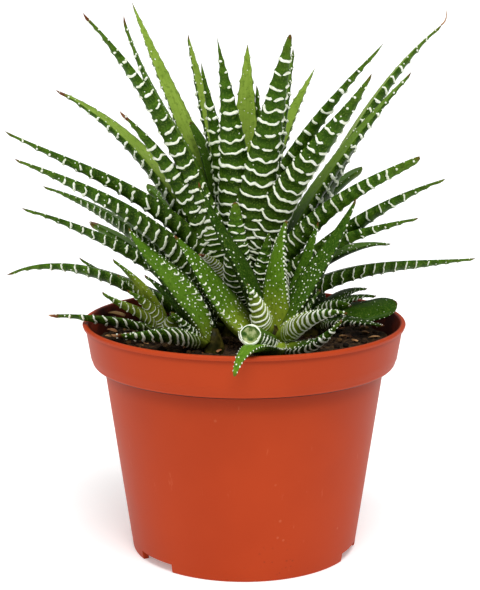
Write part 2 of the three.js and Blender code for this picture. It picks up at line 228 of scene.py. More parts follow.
# How a rosette's leaves look unless a leaf says otherwise. pitch is the spacing of the bands and band their
# width. As shares: sag is how far the ends of a band turn up, whole and pieces how far out the bands stay
# whole and go on in pieces, dots how many the inner face has, lit how brightly lit that face is painted, as
# painted light and shade, dry how much of the tip is dry, gold how far out the yellow root reaches, faint how
# green the marks are and tooth how big the bumps on the edges are.
ROSETTE_LOOKS = {
    "rosette_main": dict(pitch=4.8, band=1.1, sag=0.3, whole=0.5, pieces=0.82, dots=0.12, lit=0.5,
                         dry=0.006, gold=0.05, faint=0.0, tooth=0.95),
    "rosette_front_right": dict(pitch=2.2, band=0.85, sag=0.75, whole=0.7, pieces=0.85, dots=1.0, lit=0.4,
                                dry=0.02, gold=0.3, faint=0.0, tooth=0.9),
    "rosette_front_left": dict(pitch=2.9, band=0.85, sag=0.6, whole=0.6, pieces=0.84, dots=0.9, lit=0.35,
                               dry=0.02, gold=0.1, faint=0.1, tooth=0.9),
    "rosette_left": dict(pitch=2.7, band=0.5, sag=0.6, whole=0.6, pieces=0.84, dots=0.5, lit=0.75, dry=0.02,
                         gold=0.75, faint=0.3, tooth=0.9),
    "rosette_right": dict(pitch=2.3, band=0.6, sag=0.5, whole=0.5, pieces=0.8, dots=0.7, lit=0.15, dry=0.04,
                          gold=0.1, faint=0.2, tooth=0.8),
}

# The lowest leaves of the main rosette, up to this root height, have finer and greener marks.
LOWER_HEIGHT = 89
LOWER_LOOKS = dict(band=0.72, faint=0.25)

# What single leaves show apart from that. Bare leaves have no bands on the back. shade is how light the
# whole leaf is: its own tone, for some leaves with painted light or shade, dot how big the dots are,
# dot_reach how far out they go, tooth_pitch the bumps' own spacing, open how often a band lacks its middle,
# apart how far its pieces are apart, reach from where to where across the back the bands go, crown how high
# the inner face swells, fold where across it a fold lies, with painted shade beyond it, and rough how uneven
# the skin is. A bright leaf has none of the main rosette's painted root shade, and a cut one ends in a healed
# cut.
# hair is the length and the turn of a dry thread at the tip. hooks are short bands on the inner face: from
# where to where across it, their spacing, and from where to where along the leaf.
LEAF_LOOKS = {
    "rosette_main": {
        0: dict(band=0.6, pitch=4.3, faint=0.15),
        3: dict(dry=0.03),
        5: dict(dry=0.04),
        7: dict(bare=True, lit=0.42, dots=0.3),
        10: dict(pitch=1.25, band=0.5, sag=0.5, whole=1.0, pieces=1.0, gold=1.3, dry=0.04, shade=1.3,
                 bright=True, faint=0.3),
        11: dict(pitch=3.0, band=0.6, faint=0.4, lit=0.42),
        13: dict(pitch=2.3, band=0.62, whole=1.0, pieces=1.0, faint=0.35, shade=0.85, dry=0.0),
        14: dict(pitch=2.4, band=0.6, dots=0.6, faint=0.3, gold=0.35),
        15: dict(pitch=4.5, band=0.95, faint=0.1, reach=(-0.95, 0.83), sag=0.5),
        16: dict(bare=True, lit=0.4, dots=0.1, dry=0.0, tooth=0.5),
        17: dict(pitch=3.7, band=0.85, whole=0.1, pieces=0.86, open=0.5, dry=0.0, apart=3.4),
        20: dict(pitch=5.6, band=0.95, reach=(-0.95, 0.84), sag=0.5),
        23: dict(dry=0.05),
        24: dict(sag=0.55),
        25: dict(lit=0.68, dots=0.03),
        27: dict(lit=0.85, dots=0.06, dry=0.035),
        28: dict(pitch=5.2, dry=0.0, open=0.0, whole=0.55, pieces=0.93, sag=0.2),
        29: dict(lit=0.85, dots=0.03, pitch=5.0, hair=(6.5, 48)),
        31: dict(lit=0.9, dry=0.03, pitch=5.0),
        32: dict(open=0.9, whole=0.32, pitch=5.2),
        33: dict(dry=0.03),
        34: dict(pitch=5.2, open=0.0, whole=0.6, pieces=0.74, sag=0.2),
        35: dict(lit=0.85, dots=0.05),
        36: dict(bare=True, lit=0.42, dots=0.1, dry=0.0, tooth=0.4),
        37: dict(lit=0.86, gold=0.3, tooth_pitch=3.0, tooth=1.0, dots=0.03),
        38: dict(lit=0.92, dots=0.05, tooth_pitch=3.4),
        40: dict(lit=0.65),
        41: dict(lit=0.92, dots=0.3, dot=0.6, shade=0.98),
        43: dict(pitch=2.5, band=0.62, faint=0.3, whole=0.7),
    },
    "rosette_front_right": {
        0: dict(pitch=2.4, lit=0.15, dots=0.25, shade=0.85),
        1: dict(bare=True, lit=0.55, dots=0.35, dry=0.005, tooth_pitch=1.7, shade=1.15),
        2: dict(band=0.95, gold=0.55, sag=1.0, shade=1.1, lit=0.6),
        3: dict(pitch=5.0, band=0.8, cut=True, dots=0.0, whole=1.0, pieces=1.0, crown=0.7, sag=0.0,
                shade=0.9, gold=0.0),
        4: dict(bare=True, lit=0.45, dots=0.8, dot=0.85, hooks=(0.5, 0.88, 2.9, 0.12, 0.9), tooth_pitch=2.4,
                tooth=0.8),
        5: dict(pitch=2.3, sag=1.1, gold=0.75, lit=0.7, dry=0.0, shade=1.1),
        6: dict(bare=True, lit=0.2, dots=0.9, dot=0.8, dot_reach=0.6, gold=0.1, tooth_pitch=3.0, tooth=1.2),
        8: dict(bare=True, lit=0.12, dots=0.25, dot=0.75, gold=0.05, tooth_pitch=3.2, tooth=1.1, shade=0.9),
        9: dict(bare=True, lit=0.35, dots=0.5, dot=0.75, gold=0.0, shade=1.0, tooth_pitch=2.6, tooth=1.1),
        10: dict(lit=0.58, dots=0.75, dot=0.85, gold=0.35, tooth_pitch=1.5, tooth=1.3, dry=0.01),
    },
    "rosette_front_left": {
        0: dict(pitch=3.0, band=0.95, dry=0.1),
        2: dict(pitch=2.0, band=0.6, lit=0.3, gold=0.3),
        3: dict(bare=True, lit=0.3),
        4: dict(crown=0.4, fold=-0.3, hooks=(0.16, -0.3, 3.1, 0.1, 0.7), bare=True, lit=0.46, dots=0.85,
                dot=0.8),
    },
    "rosette_left": {
        2: dict(bare=True, lit=0.6, dots=0.25),
        5: dict(pitch=4.6, band=0.85, gold=0.1, lit=0.3, faint=0.0, shade=0.85, dry=0.08),
    },
    "rosette_right": {
        0: dict(pitch=2.0, faint=0.0, lit=0.05, shade=0.8),
        1: dict(bare=True, dots=0.5, dot=0.5, lit=0.2, tooth_pitch=1.9, shade=0.92, dry=0.0, gold=0.0,
                rough=1.2),
    },
}

# Where the corners of a leaf's ring lie across its back, and then back across its inner face
BACK_PLACES = np.linspace(-1, 1, 13)
FACE_PLACES = np.linspace(1, -1, 7)[1:-1]

# Healed cut: where along the leaf it is, its rings as scale, rise above the cut and scar, and its depth
CUT_PLACE = 0.955
CUT_RINGS = ((0.86, 0.25, 0.1), (0.74, -0.5, 1), (0.4, -1.1, 1))
CUT_DEPTH = 1.2
LIP_RADIUS = 0.31
LIP_SIDES = 7

HAIR_RADII = (0.34, 0.10)
HAIR_STEPS = 8
HAIR_SIDES = 6

# Section of a raised band: how far along the leaf, in widths, and how high, in heights
BAND_SECTION = ((-0.5, -0.15), (-0.33, 0.74), (0.0, 1.0), (0.33, 0.74), (0.5, -0.15))
BAND_END = 0.95
BACK_ARC = 1.25

DOT_SIDES = 7
DOT_SPACING = 1.6


def smooth(low, high, value):
    """0 below low, 1 above high, and a smooth way between."""
    t = np.clip((np.asarray(value, float) - low) / (high - low), 0, 1)
    return t * t * (3 - 2 * t)


def round_end(way, cap, least=0.0):
    """1 along the way, then down a quarter round over the last share of it."""
    return np.sqrt(np.clip(1 - np.clip((way - 1 + cap) / cap, 0, 1) ** 2, least, 1))


def unit(vectors):
    """A vector, or each row of an array of vectors, at length 1."""
    return vectors / np.maximum(np.linalg.norm(vectors, axis=-1, keepdims=True), 1e-12)


def direction(rise, turn):
    """The vector, or a row of them, at these angles above level and around from +X."""
    return np.stack([np.cos(rise) * np.cos(turn), np.cos(rise) * np.sin(turn), np.sin(rise)], axis=-1)


def circle(sides):
    """The cosine and the sine of so many even turns."""
    turns = [2 * math.pi * i / sides for i in range(sides)]
    return [(math.cos(turn), math.sin(turn)) for turn in turns]


def ring(radius, height, sides, x=0.0, y=0.0):
    """Corners of a level ring."""
    return [(x + radius * c, y + radius * s, height) for c, s in circle(sides)]


def strips(rings, sides, flip=False):
    """Faces from each ring of corners to the next, for rings given by their numbers."""
    faces = []
    for low, high in zip(rings, rings[1:]):
        for i in range(sides):
            j = (i + 1) % sides
            a, b, c, d = low * sides + i, low * sides + j, high * sides + j, high * sides + i
            faces.append((a, d, c, b) if flip else (a, b, c, d))
    return faces


def closed_tube(count, sides):
    """Faces of a tube of so many rings with both ends closed."""
    last = (count - 1) * sides
    return [*strips(range(count), sides), tuple(reversed(range(sides))), tuple(range(last, last + sides))]


def mesh_of(name, points, faces):
    mesh = bpy.data.meshes.new(name)
    mesh.from_pydata((np.asarray(points, float) * MM).tolist(), [], faces)
    mesh.update()
    return mesh


def linked(name, data):
    """A new object in the scene for a mesh, a light or a camera."""
    thing = bpy.data.objects.new(name, data)
    bpy.context.scene.collection.objects.link(thing)
    return thing


class Parts:
    """Pieces of mesh gathered into one object, with named values at the corners."""

    def __init__(self, *names):
        self.points = []
        self.faces = []
        self.looks = []
        self.values = {name: [] for name in names}
        self.count = 0

    def add(self, points, faces, look=0, **values):
        points = np.asarray(points, float).reshape(-1, 3)
        self.points.append(points)
        self.faces += [tuple(i + self.count for i in face) for face in faces]
        self.looks += [look] * len(faces)
        for name, gathered in self.values.items():
            gathered.append(np.broadcast_to(np.asarray(values.get(name, 0.0), float), len(points)))
        self.count += len(points)

    def build(self, name, materials):
        mesh = mesh_of(name, np.concatenate(self.points), self.faces)
        mesh.polygons.foreach_set("use_smooth", [True] * len(mesh.polygons))
        for key, gathered in self.values.items():
            attribute = mesh.attributes.new(key, "FLOAT", "POINT")
            attribute.data.foreach_set("value", np.concatenate(gathered).astype(np.float32))
        for material in materials:
            mesh.materials.append(material)
        mesh.polygons.foreach_set("material_index", self.looks)
        mesh.update()
        return linked(name, mesh)


# Leaves

def width_share(s, blunt):
    """Half-width share along a leaf: a little narrow at the root, then an even taper to the tip."""
    left = 1 - s * (1 - max(blunt, 0))
    body = np.sin(math.pi / 2 * np.clip(left, 0, 1) ** (TIP_POWER * (1 + max(-blunt, 0))))
    swell = np.sin(math.pi / 2 * np.minimum(s / ROOT_REACH, 1))
    return body * (ROOT_WIDTH_SHARE + (1 - ROOT_WIDTH_SHARE) * swell)


def root_radius(name, height):
    if name != "rosette_main":
        return OFFSET_ROOT_RADIUS
    return next(radius for top, radius in MAIN_ROOTS if height <= top)


class Leaf:
    """One leaf's surface: s runs from root to tip, v across a face from edge to edge, -1 to 1."""

    def __init__(self, name, number):
        azimuth, height, rise_root, rise_middle, rise_tip, length, width, roll, *rest = LEAVES[name][number]
        self.blunt, veer, late, self.plump = (*rest, *USUAL_REST[len(rest):])
        self.length = length
        self.width = width
        lower = LOWER_LOOKS if name == "rosette_main" and height <= LOWER_HEIGHT else {}
        self.looks = {**ROSETTE_LOOKS[name], **lower, **LEAF_LOOKS[name].get(number, {})}
        self.random = random.Random(f"{name} {number}")
        self.is_main = name == "rosette_main" and not self.looks.get("bright")
        self.tone = self.random.random()
        usual_shade = self.random.uniform(0.88, 1.1)
        # The leaf's shade: its own tone, or a listed value that for some leaves paints light or shade on it.
        self.shade = self.looks.get("shade", usual_shade)
        s = np.linspace(0, 1, LEAF_STEPS + 1)
        t = s ** late
        rise = rise_root * (1 - t) * (1 - 2 * t) + rise_middle * 4 * t * (1 - t) + rise_tip * t * (2 * t - 1)
        heading = np.radians(azimuth + veer * s)
        along = direction(np.radians(rise), heading)
        start = root_radius(name, height) * direction(0, math.radians(azimuth))
        root = start + [ROSETTES[name]["x"], ROSETTES[name]["y"], height]
        self.spine = np.vstack([root, root + np.cumsum(along[:-1], axis=0) * (length / LEAF_STEPS)])
        level = np.stack([-np.sin(heading), np.cos(heading), np.zeros_like(s)], axis=1)
        rolled = (math.radians(roll) * np.minimum(s / ROLL_REACH, 1))[:, None]
        self.side = level * np.cos(rolled) + np.cross(along, level) * np.sin(rolled)
        self.inner = -np.cross(self.side, along)
        self.bands = self.place_bands()

    def at(self, rows, s):
        """A row of values along the leaf, read smoothly at any place."""
        place = np.clip(s, 0, 1) * LEAF_STEPS
        low = np.minimum(np.floor(place).astype(int), LEAF_STEPS - 1)
        t = (place - low)[..., None]
        padded = np.vstack([2 * rows[0] - rows[1], rows, 2 * rows[-1] - rows[-2]])
        a, b, c, d = padded[low], padded[low + 1], padded[low + 2], padded[low + 3]
        return 0.5 * (2 * b + (c - a) * t + (2 * a - 5 * b + 4 * c - d) * t ** 2
                      + (3 * b - 3 * c + d - a) * t ** 3)

    def ahead(self, s):
        """The way the leaf runs just before s."""
        ends = self.at(self.spine, np.array([s - 0.1, s]))
        return unit(ends[1] - ends[0])

    def half(self, s):
        """Half the leaf's width."""
        share = width_share(s, self.blunt)
        if self.blunt > 0 and not self.looks.get("cut"):
            end = max(width_share(0.97, self.blunt) * self.width / 2, 0.3)
            share = share * round_end(s, min(end * 1.2 / self.length, 0.3))
        return np.maximum(share * self.width / 2, 0.02)

    def half_at(self, place):
        """Half the leaf's width, so many millimetres from the root."""
        return float(self.half(place / self.length))

    def thick(self, s):
        half = self.half(s)
        return np.minimum(np.maximum(2 * half * THICKNESS_SHARE * self.plump, LEAST_THICKNESS), 2.4 * half)

    def place_bands(self):
        """Where each band crosses the middle of the back, in millimetres from the root."""
        places = []
        place = 2.0
        while place < self.length * 0.985:
            places.append(place)
            near_root = 0.46 + 0.54 * float(smooth(0.02, 0.42, place / self.length))
            place += self.looks["pitch"] * near_root * self.random.uniform(0.9, 1.1)
        return np.array(places)

    def sag(self, s, v):
        """How far a band has moved towards the tip at v."""
        fade = 1 - 0.7 * smooth(0.35, 0.75, s)
        return self.looks["sag"] * fade * self.half(s) * (0.35 * v ** 2 + 0.65 * np.abs(v) ** 4)

    def back(self, s, v, lift=0.0):
        """Points on the back, lifted off it by so much."""
        angle = v * math.pi / 2
        half, thick = self.half(s), self.thick(s)
        keel = np.clip(1 - np.abs(v) / KEEL_REACH, 0, 1)
        depth = thick * ((1 - KEEL) * np.cos(angle) + KEEL * keel)
        side, inner = unit(self.at(self.side, s)), unit(self.at(self.inner, s))
        base = self.at(self.spine, s) + side * (half * np.sin(angle))[..., None] - inner * depth[..., None]
        if np.ndim(lift) == 0 and lift == 0:
            return base
        # The way out of a rounded back, from the middle of the leaf's section
        out = side * (np.sin(angle) * thick / np.maximum(half, 0.05))[..., None]
        out = unit(out - inner * np.cos(angle)[..., None])
        return base + out * np.asarray(lift)[..., None]

    def face(self, s, v, lift=0.0):
        """Points on the inner face, lifted off it by so much."""
        usual = -0.05 if self.is_main else 0.10
        flatness = 2.6 if self.looks.get("cut") else 1.5
        crown = self.looks.get("crown", usual) * self.half(s) * (1 - np.abs(v) ** flatness)
        side, inner = unit(self.at(self.side, s)), unit(self.at(self.inner, s))
        middle = self.at(self.spine, s)
        return middle + side * (self.half(s) * v)[..., None] + inner * (crown + lift)[..., None]


def ring_places(leaf):
    """Where the rings of a leaf's skin lie: fine enough for its bands, up to its tip or its cut."""
    step = min(leaf.looks["pitch"] / 4, 1.2)
    s = np.linspace(0, 1, max(int(leaf.length / step), 16) + 1)
    if leaf.looks.get("cut"):
        return s[s < CUT_PLACE]
    return np.append(s[s < 0.996], 0.998)


def closeness(leaf, s, v, reach, ahead=0.0):
    """1 on a band, falling to 0 away from it, over a share of the bands' spacing, or so far ahead of it."""
    place = s * leaf.length - leaf.sag(s, v) - ahead * leaf.looks["pitch"]
    near = np.abs(place[..., None] - leaf.bands).min(axis=-1)
    return np.exp(-(near / (reach * leaf.looks["pitch"])) ** 2)


def ridge(leaf, s, v):
    """How far the back swells out under its bands."""
    fade = smooth(0.0, 1.2, leaf.half(s)) * (1 - smooth(0.93, 0.99, s))
    if leaf.looks.get("bare"):
        return np.zeros_like(fade)
    return 0.075 * leaf.looks["pitch"] * closeness(leaf, s, v, 0.17) * fade


def knobs(leaf, across, spacing):
    """A row of random swellings, about -1 to 1, so many millimetres apart."""
    seed = leaf.random.uniform(0, 500)
    return np.array([1.6 * noise.noise(Vector((seed, float(u) / spacing, 0.5))) for u in across])


def skin_rings(leaf, s):
    """Rings of corners round a leaf, a little uneven, with the swellings under its bands."""
    back_s, back_v = np.meshgrid(s, BACK_PLACES, indexing="ij")
    back = leaf.back(back_s, back_v, ridge(leaf, back_s, back_v))
    face = leaf.face(*np.meshgrid(s, FACE_PLACES, indexing="ij"))
    rings = np.concatenate([back, face], axis=1)
    away = Vector((leaf.tone * 50, 0, 0))
    wobble = [noise.noise(Vector(point) * 0.16 + away) for point in rings.reshape(-1, 3)]
    outward = unit(rings - leaf.at(leaf.spine, s)[:, None, :])
    amount = (0.22 + 0.5 * leaf.looks.get("rough", 0)) * smooth(0, 2, leaf.half(s))[:, None]
    return rings + outward * (amount * np.reshape(wobble, rings.shape[:2]))[..., None]


def skin_values(leaf, s):
    """What the leaf's material reads at each corner of the rings."""
    across = np.concatenate([BACK_PLACES, FACE_PLACES])
    backness = np.concatenate([np.ones(len(BACK_PLACES)), np.zeros(len(FACE_PLACES))])
    backness[[0, len(BACK_PLACES) - 1]] = 0.6
    glow = np.zeros((len(s), len(across)))
    if not leaf.looks.get("bare"):
        # Painted light: lighter green just on the tip side of each band, where the swollen back catches the
        # light.
        glow[:, :len(BACK_PLACES)] = closeness(leaf, *np.meshgrid(s, BACK_PLACES, indexing="ij"), 0.3, 0.22)
    shade = np.full(glow.shape, leaf.shade)
    lit = np.full((len(s), 1), leaf.looks["lit"])
    # Painted shade: the main rosette's leaves darker, and their faces less lit, towards the root deep in the
    # rosette.
    if leaf.is_main:
        shade *= 1 - 0.7 * (1 - smooth(0.02, 0.32, s))[:, None]
        lit *= 0.3 + 0.7 * smooth(0.2, 0.5, s)[:, None]
    # Painted shade: the inner face darker beyond the fold, where it turns away from the light.
    if "fold" in leaf.looks:
        shade *= 1 - 0.6 * smooth(0.0, 0.3, leaf.looks["fold"] - across) * (1 - backness)
    values = {"along": s[:, None], "across": across, "backness": backness, "lit": lit, "glow": glow,
              "shade": shade, "scar": 0.0}
    return {key: np.broadcast_to(value, glow.shape).ravel() for key, value in values.items()}


def extended(values, count, **last):
    """The values with so many more corners, which all have the last ones, or 0."""
    return {key: np.append(value, np.full(count, last.get(key, 0.0))) for key, value in values.items()}


def leaf_skin(parts, leaf):
    """The green body of one leaf, up to its pointed tip or the hollow scar of its cut."""
    s = ring_places(leaf)
    rings = skin_rings(leaf, s)
    values = skin_values(leaf, s)
    count = rings.shape[1]
    points = rings.reshape(-1, 3)
    if leaf.looks.get("cut"):
        centre, ahead = rings[-1].mean(axis=0), leaf.ahead(s[-1])
        healed = {"along": s[-1], "shade": 1.0, "lit": 0.3}
        for scale, rise, scar in CUT_RINGS:
            points = np.vstack([points, centre + (rings[-1] - centre) * scale + ahead * rise])
            values = extended(values, count, scar=scar, **healed)
        tip = centre - ahead * CUT_DEPTH
        values = extended(values, 1, scar=1.0, **healed)
    else:
        tip = leaf.spine[-1]
        values = extended(values, 1, along=1.0, backness=0.5, shade=leaf.shade, lit=leaf.looks["lit"])
    last = len(points) - count
    faces = strips(range(len(points) // count), count, flip=True)
    faces.append(tuple(range(count)))
    faces += [(last + i, len(points), last + (i + 1) % count) for i in range(count)]
    parts.add(np.vstack([points, tip]), faces, tone=leaf.tone, dry=leaf.looks["dry"],
              gold=leaf.looks["gold"], **values)


def cut_lip(bands, leaf):
    """The pale swollen lip round a healed cut."""
    if not leaf.looks.get("cut"):
        return
    end = ring_places(leaf)[-1]
    back_v = np.linspace(-1, 1, 19)
    face_v = np.linspace(1, -1, 13)[1:-1]
    outline = np.vstack([leaf.back(np.full(len(back_v), end), back_v),
                         leaf.face(np.full(len(face_v), end), face_v)])
    out = unit(outline - outline.mean(axis=0))
    ahead = leaf.ahead(end)
    radius = (LIP_RADIUS * (1 + 0.35 * knobs(leaf, np.arange(len(outline)), 2.5)))[:, None]
    rings = [outline - out * 0.25 + radius * (out * c + ahead * s) for c, s in circle(LIP_SIDES)]
    bands.add(np.vstack(rings), strips([*range(LIP_SIDES), 0], len(outline)))


def leaf_hair(parts, leaf):
    """The dry thread that a tip ends in, curling upwards."""
    if "hair" not in leaf.looks:
        return
    length, lift = leaf.looks["hair"]
    ahead = unit(leaf.spine[-1] - leaf.spine[-2])
    heading = math.atan2(ahead[1], ahead[0])
    side = np.array([-math.sin(heading), math.cos(heading), 0])
    place = leaf.spine[-1] - ahead * 0.5
    points = []
    for i in range(HAIR_STEPS + 1):
        rise = math.asin(ahead[2]) + math.radians(lift) * min(2 * i / HAIR_STEPS, 1)
        way = direction(rise, heading)
        radius = HAIR_RADII[0] + (HAIR_RADII[1] - HAIR_RADII[0]) * i / HAIR_STEPS
        points += [place + radius * (side * c + np.cross(way, side) * s) for c, s in circle(HAIR_SIDES)]
        place = place + way * (length / HAIR_STEPS)
    faces = strips(range(HAIR_STEPS + 1), HAIR_SIDES)
    faces.append(tuple(range(len(points) - HAIR_SIDES, len(points))))
    parts.add(points, faces, along=1.2, backness=0.5, tone=leaf.tone, lit=0.3, shade=1.0)


def ribbon(parts, leaf, place, start, end, width, height, faint=0.0, knobby=0.5, on_face=False):
    """One raised white knobbly line across the leaf, from v = start to v = end."""
    half = leaf.half_at(place)
    length = abs(end - start) * half * (1 if on_face else BACK_ARC)
    steps = int(np.clip(length / 0.5, 5, 32))
    v = np.linspace(start, end, steps + 1)
    share = np.linspace(-1, 1, steps + 1)
    across = v * half * BACK_ARC
    unsteady = 0.3 * knobs(leaf, across, 2.4) + 0.14 * knobs(leaf, across, 1.2)
    centre = place + knobby * leaf.looks["pitch"] * unsteady
    if on_face:
        centre += 0.3 * length * share ** 2
    else:
        centre += leaf.sag(np.clip(centre / leaf.length, 0, 1), v)
    taper = round_end(np.abs(share), min(0.5 * width / max(length / 2, 0.1), 0.6), 0.06)
    swell = knobs(leaf, across, 1.5)
    wide = width * taper * (1 + 0.6 * knobby * swell)
    high = height * taper * (1 + knobby * swell)
    rows = []
    for shift, rise in BAND_SECTION:
        s = np.clip((centre + shift * wide) / leaf.length, 0, 0.999)
        lift = high * rise
        rows.append(leaf.face(s, v, lift) if on_face else leaf.back(s, v, ridge(leaf, s, v) + lift))
    n = len(BAND_SECTION)
    faces = [(a, a + n, a + n + 1, a + 1) for i in range(steps) for a in range(n * i, n * i + n - 1)]
    faces += [tuple(range(n)), tuple(reversed(range(n * steps, n * steps + n)))]
    parts.add(np.stack(rows, axis=1), faces, faint=faint)


def dome_shape():
    """Corners and faces of a low round top over the ring that it stands on."""
    n = DOT_SIDES
    corners = [(0, 0, 1), *ring(0.72, 0.62, n), *ring(1, -0.25, n)]
    faces = [(0, 1 + i, 1 + (i + 1) % n) for i in range(n)]
    faces += [tuple(1 + corner for corner in face) for face in strips(range(2), n, flip=True)]
    faces.append(tuple(reversed(range(1 + n, 1 + 2 * n))))
    return np.array(corners), faces


DOME, DOME_FACES = dome_shape()


def dot(parts, leaf, place, v, radius, faint, stretch=1.0, on_face=False):
    """A small raised dot on the back, maybe longer across the leaf, or on the inner face."""
    s, v = np.array([min(place / leaf.length, 0.995)]), np.array([v])
    surface = leaf.face if on_face else leaf.back
    lift = 0.0 if on_face else ridge(leaf, s, v)
    height = radius * (0.55 if on_face else 0.6)
    centre = surface(s, v, lift)[0]
    out = unit(surface(s, v, lift + 1.0)[0] - centre)
    first = np.cross(out, [0.3, 0.5, 0.8]) if on_face else unit(leaf.at(leaf.side, s))[0]
    first = unit(first - out * (first @ out))
    second = np.cross(out, first)
    points = centre + DOME[:, :1] * first * radius * stretch + DOME[:, 1:2] * second * radius
    parts.add(points + DOME[:, 2:] * out * height, DOME_FACES, faint=faint)


def broken(draw, pieces, apart):
    """Where a band's pieces start and end across the back."""
    if pieces == 1:
        return [(-BAND_END, BAND_END)]
    cuts = sorted(draw.uniform(-0.55, 0.55) for _ in range(pieces - 1))
    if pieces == 3 and cuts[1] - cuts[0] < 0.4:
        cuts = [-0.3 + draw.uniform(-0.1, 0.1), 0.3 + draw.uniform(-0.1, 0.1)]
    edges = [-BAND_END, *cuts, BAND_END]
    gap = apart * draw.uniform(0.05, 0.1)
    return [(low + (gap if i else 0), high - (gap if i < pieces - 1 else 0))
            for i, (low, high) in enumerate(zip(edges, edges[1:]))]


def band_spans(draw, looks, pieces):
    """The pieces of a band that are there, maybe without the middle one, as far as the bands reach."""
    spans = broken(draw, pieces, looks.get("apart", 1.0))
    if pieces == 3 and draw.random() < looks.get("open", 0.25):
        spans = [spans[0], spans[2]]
    low, high = looks.get("reach", (-BAND_END, BAND_END))
    spans = [(max(start, low), min(end, high)) for start, end in spans]
    return [(start, end) for start, end in spans if end - start > 0.15]


def tip_dots(dots, leaf, place, half, faint):
    """One or two dots in a band's place, where the leaf is too slender or its tip too near."""
    draw = leaf.random
    for v in [0.0] if half < 1.0 else draw.sample([-0.6, 0.0, 0.55], 1 if half < 1.6 else 2):
        radius = min(0.5 * leaf.looks["band"], half * 0.6) * draw.uniform(0.75, 1.15)
        dot(dots, leaf, place + draw.uniform(-0.6, 0.6), v + draw.uniform(-0.1, 0.1), radius, faint,
            draw.uniform(1, 1.6))


def leaf_bands(bands, dots, leaf):
    """The raised white bands on a leaf's back: whole near the root, in pieces further out, then dots."""
    draw = leaf.random
    looks = leaf.looks
    if looks.get("bare"):
        return
    for place in leaf.bands:
        s = place / leaf.length
        half = leaf.half_at(place)
        faint = max(1 - float(smooth(0.03, 0.32, s)), looks["faint"])
        slim = 0.5 + 0.5 * float(smooth(0.02, 0.32, s))
        width = looks["band"] * slim * draw.uniform(0.88, 1.14)
        chance = draw.random()
        if half < 0.45:
            continue
        if half < 1.3 or s > looks["pieces"]:
            tip_dots(dots, leaf, place, half, faint)
            continue
        pieces = 1 if chance < 0.88 else 2
        if s > looks["whole"]:
            pieces = 1 if chance < 0.2 else 2 if chance < 0.5 or half < 2.4 else 3
        for start, end in band_spans(draw, looks, pieces):
            jog = draw.uniform(-0.09, 0.09) * looks["pitch"] if pieces > 1 else 0
            ribbon(bands, leaf, place + jog, start, end, width, 0.34 * width, faint,
                   0.5 if pieces == 1 else 0.34)
        if s > 0.35 and draw.random() < 0.45:
            stray = place + looks["pitch"] * draw.uniform(0.3, 0.6)
            v = draw.choice((-1, 1)) * draw.uniform(0.45, 0.85)
            dot(dots, leaf, stray, v, draw.uniform(0.22, 0.36), faint)


def leaf_teeth(dots, leaf):
    """White bumps along both edges, one at each end of a band unless the leaf has a spacing of its own."""
    draw = leaf.random
    looks = leaf.looks
    own = looks.get("tooth_pitch")
    places = leaf.bands if own is None else np.arange(2.0, leaf.length * 0.97, own)
    for place in places:
        s = place / leaf.length
        half = leaf.half_at(place)
        faint = max(1 - float(smooth(0.0, 0.12, s)), 0.8 * looks["faint"])
        for v in (-0.97, 0.97):
            if half < 0.3 or draw.random() < 0.06:
                continue
            edge = place + draw.uniform(-0.25, 0.25)
            if own is None:
                edge += float(leaf.sag(s, 1.0))
            radius = min(looks["band"] * 0.42, 0.25 + half * 0.3) * draw.uniform(0.7, 1.2) * looks["tooth"]
            dot(dots, leaf, edge, v, radius, faint)


def leaf_hooks(bands, leaf):
    """Short white hooks that reach from one edge, or from a fold, into the inner face."""
    if "hooks" not in leaf.looks:
        return
    start, end, spacing, low, high = leaf.looks["hooks"]
    draw = leaf.random
    band = leaf.looks["band"]
    place = leaf.length * low
    while place < leaf.length * high:
        shift = draw.uniform(-0.05, 0.05)
        ribbon(bands, leaf, place, start + shift, end + shift + draw.uniform(-0.08, 0.08),
               0.75 * band * draw.uniform(0.85, 1.15), 0.5 * band, knobby=0.15, on_face=True)
        place += spacing * draw.uniform(0.85, 1.15)


def leaf_dots(dots, leaf):
    """Small white dots on the inner face."""
    looks = leaf.looks
    if looks["dots"] <= 0:
        return
    draw = leaf.random
    place = 1.5
    while place < leaf.length * looks.get("dot_reach", 0.97):
        half = leaf.half_at(place)
        faint = max(0.55 * (1 - float(smooth(0.0, 0.25, place / leaf.length))), looks["faint"])
        across = max(int(2 * half / DOT_SPACING), 1)
        for i in range(across):
            if draw.random() > looks["dots"] * 0.62:
                continue
            aside = draw.uniform(-0.4, 0.4) * DOT_SPACING / max(half, 1)
            v = ((i + 0.5) / across * 2 - 1) * 0.9 + aside
            if abs(v) < 0.93:
                radius = draw.uniform(0.2, 0.42) * looks.get("dot", 1.0)
                if draw.random() < 0.12:
                    radius *= 1.4
                spot = place + draw.uniform(-0.45, 0.45) * DOT_SPACING
                dot(dots, leaf, spot, v, radius, faint, on_face=True)
        place += DOT_SPACING * 0.85


def stem(parts, spot):
    """The short core that the leaves grow from."""
    profile = ((spot["stem"] * 0.9, STEM_FOOT), (spot["stem"], 80), (spot["stem"], 81.5),
               (spot["neck"], spot["top"] - 3), (spot["neck"] * 0.6, spot["top"]))
    points = []
    for radius, height in profile:
        points += ring(radius, height, STEM_SIDES, spot["x"], spot["y"])
    parts.add(points, closed_tube(len(profile), STEM_SIDES), along=0.03, backness=1.0, tone=0.5, lit=0.2,
              shade=0.45, husk=0.8)


